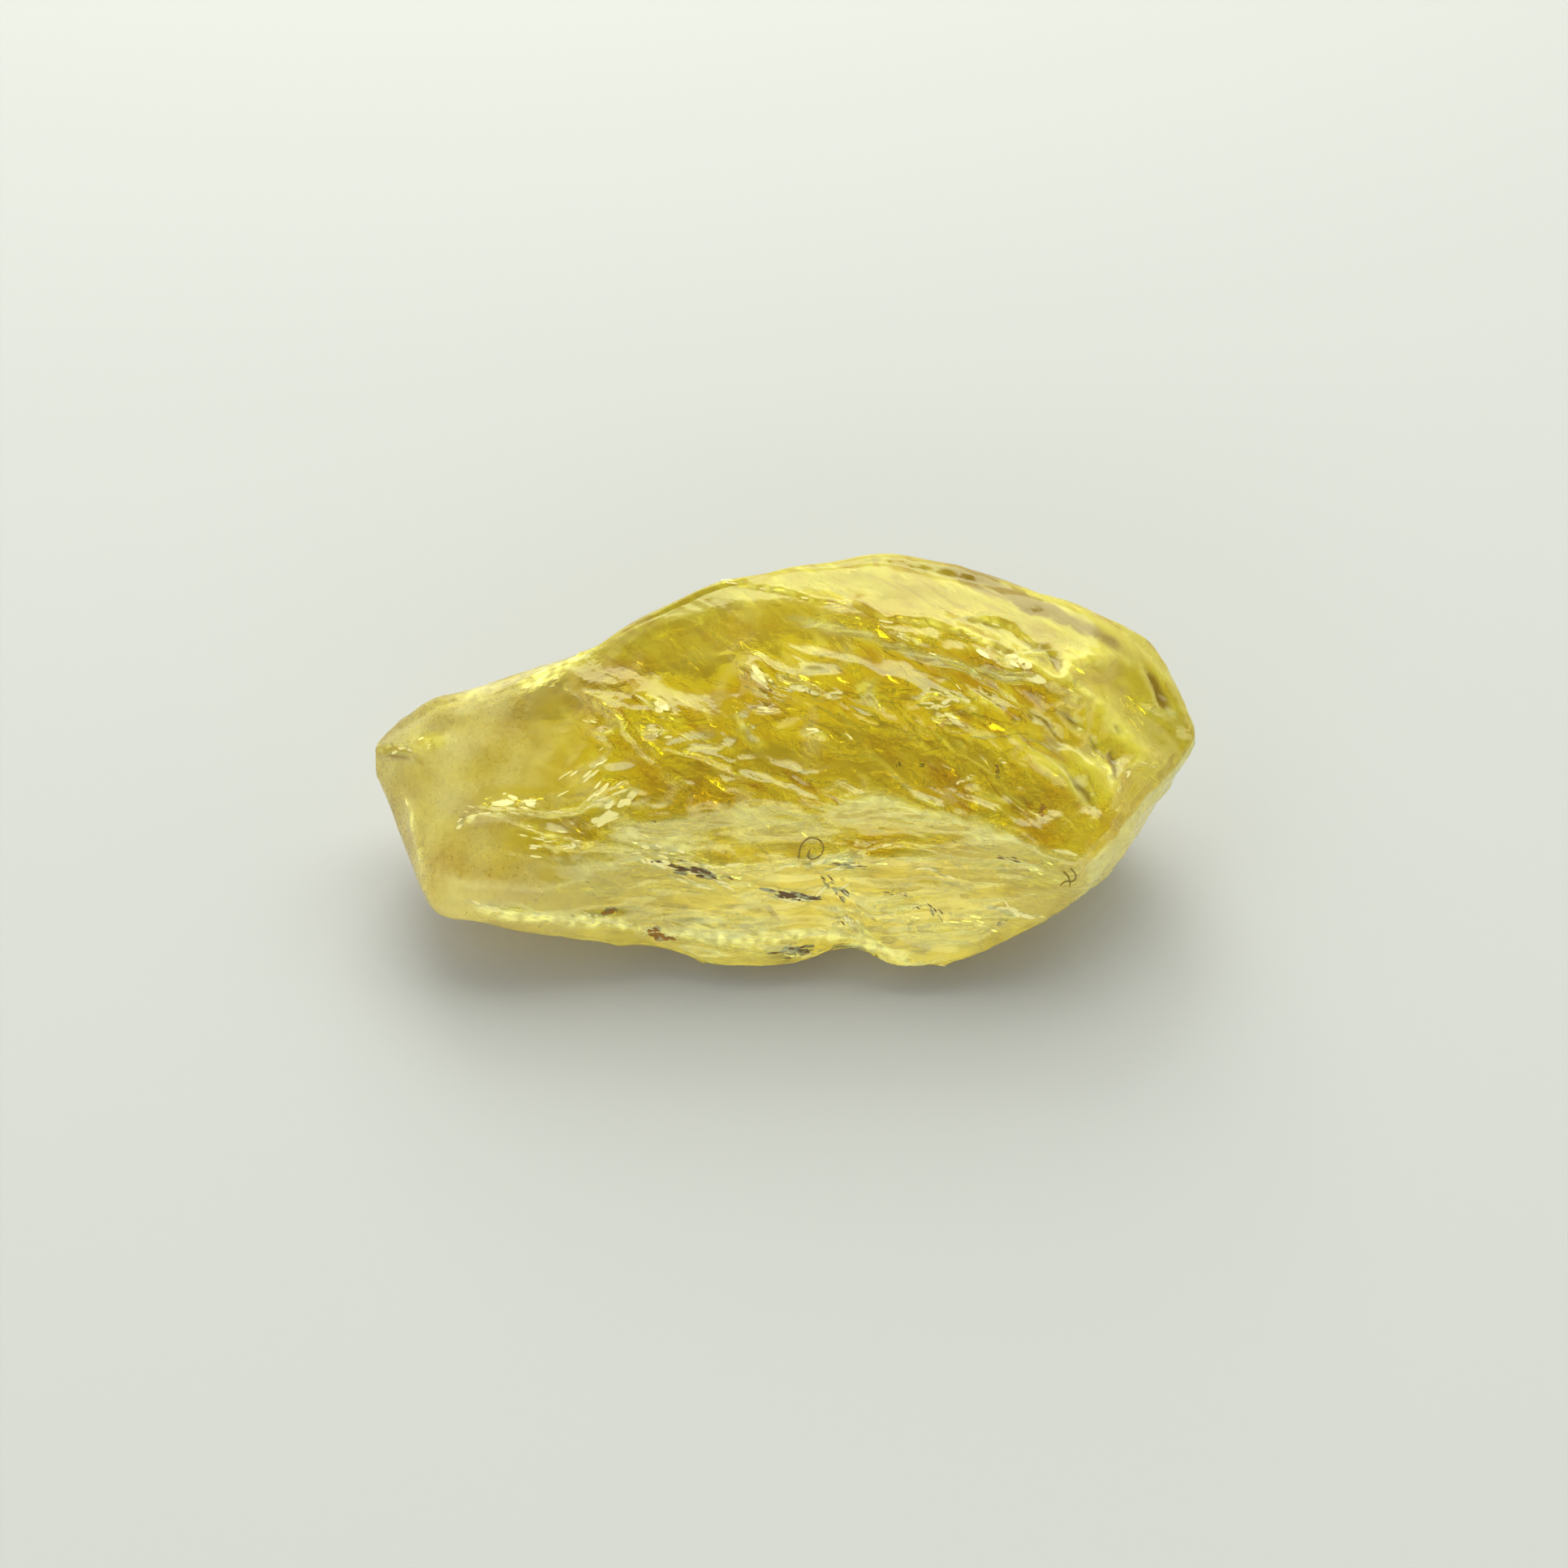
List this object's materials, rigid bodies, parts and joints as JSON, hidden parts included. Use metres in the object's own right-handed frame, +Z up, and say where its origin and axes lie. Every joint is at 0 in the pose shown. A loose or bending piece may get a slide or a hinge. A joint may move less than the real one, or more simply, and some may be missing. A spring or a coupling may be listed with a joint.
{
  "type": "danburite crystal",
  "caption": "Rough golden danburite crystal, broken and naturally etched: one clear faceted lump that lies on its flattest side.",
  "frame": {"origin": "middle of the crystal's box, on the surface that it rests on", "axes": "+X along the crystal, from the etched blunt end to the fresh pointed end; +Z up from the resting face"},
  "size_m": [0.022, 0.0098, 0.0074],
  "materials": {
    "danburite": "clear golden crystal, glossy on the fresh breaks and frosted by etching at the left end",
    "fracture": "bright open fractures and whitish veils inside the crystal",
    "iron_stain": "rusty orange film in small cracks",
    "dark_inclusion": "grey-brown mineral grains",
    "lint": "fine textile fibre lying on the crystal"
  },
  "bodies": {
    "root": {"crystal": "danburite"}
  },
  "joints": []
}
